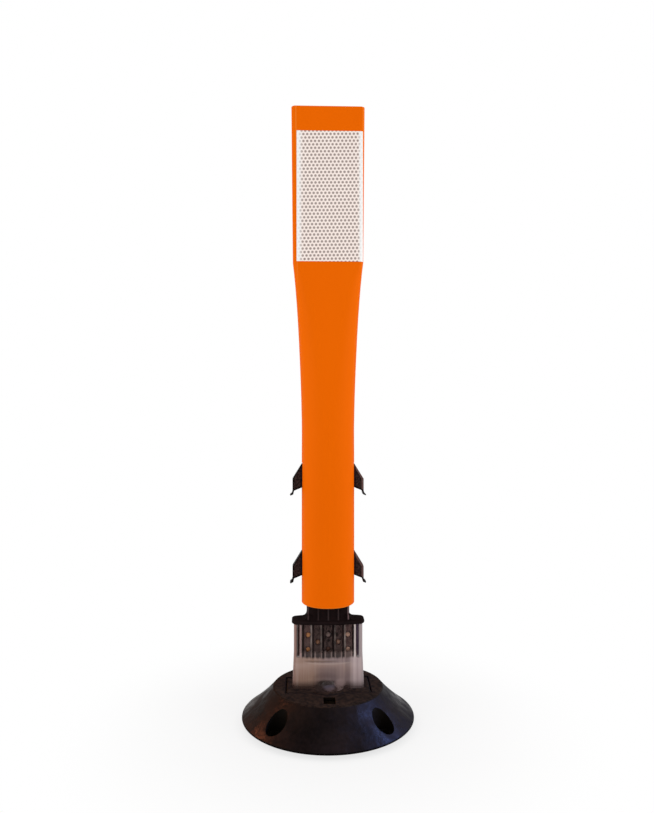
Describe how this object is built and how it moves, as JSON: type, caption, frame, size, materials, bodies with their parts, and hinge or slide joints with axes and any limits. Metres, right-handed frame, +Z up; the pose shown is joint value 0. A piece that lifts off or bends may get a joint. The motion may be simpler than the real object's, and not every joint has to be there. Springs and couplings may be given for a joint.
{
  "type": "traffic delineator post",
  "caption": "Flexible roadside delineator post: orange tube flattened to a paddle with a reflective sheet, urethane bending hinge and a round bolt-down base.",
  "frame": {"origin": "centre of the base's underside, on the road surface", "axes": "+Z up along the post, -Y is the front that carries the sheet, +X to the right seen from the front"},
  "size_m": [0.1964, 0.1964, 0.701],
  "materials": {
    "base_black": "satin black moulding",
    "connector_black": "satin brown-black moulding",
    "urethane_clear": "translucent smoky urethane",
    "post_orange": "satin safety orange",
    "sheet_white": "white prismatic sheeting with rows of dots"
  },
  "bodies": {
    "base_unit": {"base": "base_black", "foot_plate": "base_black", "flex_hinge": "urethane_clear"},
    "latch": {"release_latch": "connector_black"},
    "post": {"upper_connector": "connector_black", "post_tube": "post_orange", "reflective_sheet": "sheet_white"},
    "upper_left_barb": {"barb_upper_left": "connector_black"},
    "upper_right_barb": {"barb_upper_right": "connector_black"},
    "lower_left_barb": {"barb_lower_left": "connector_black"},
    "lower_right_barb": {"barb_lower_right": "connector_black"}
  },
  "joints": [
    {"name": "flex_bend", "type": "hinge", "parent": "base_unit", "child": "post", "pos_m": [0, 0, 0.0575], "axis": [1, 0, 0], "range_deg": [-85, 85], "stiffness_Nm_per_rad": 25, "deforming": ["flex_hinge"]},
    {"name": "latch_press", "type": "hinge", "parent": "base_unit", "child": "latch", "pos_m": [0, -0.0325, 0.014], "axis": [1, 0, 0], "range_deg": [0, 8], "stiffness_Nm_per_rad": 2},
    {"name": "upper_left_press", "type": "hinge", "parent": "post", "child": "upper_left_barb", "pos_m": [-0.019, 0, 0.2381], "axis": [0, 1, 0], "range_deg": [0, 16], "stiffness_Nm_per_rad": 4},
    {"name": "upper_right_press", "type": "hinge", "parent": "post", "child": "upper_right_barb", "pos_m": [0.019, 0, 0.2381], "axis": [0, -1, 0], "range_deg": [0, 16], "stiffness_Nm_per_rad": 4},
    {"name": "lower_left_press", "type": "hinge", "parent": "post", "child": "lower_left_barb", "pos_m": [-0.019, 0, 0.1381], "axis": [0, 1, 0], "range_deg": [0, 16], "stiffness_Nm_per_rad": 4},
    {"name": "lower_right_press", "type": "hinge", "parent": "post", "child": "lower_right_barb", "pos_m": [0.019, 0, 0.1381], "axis": [0, -1, 0], "range_deg": [0, 16], "stiffness_Nm_per_rad": 4}
  ]
}
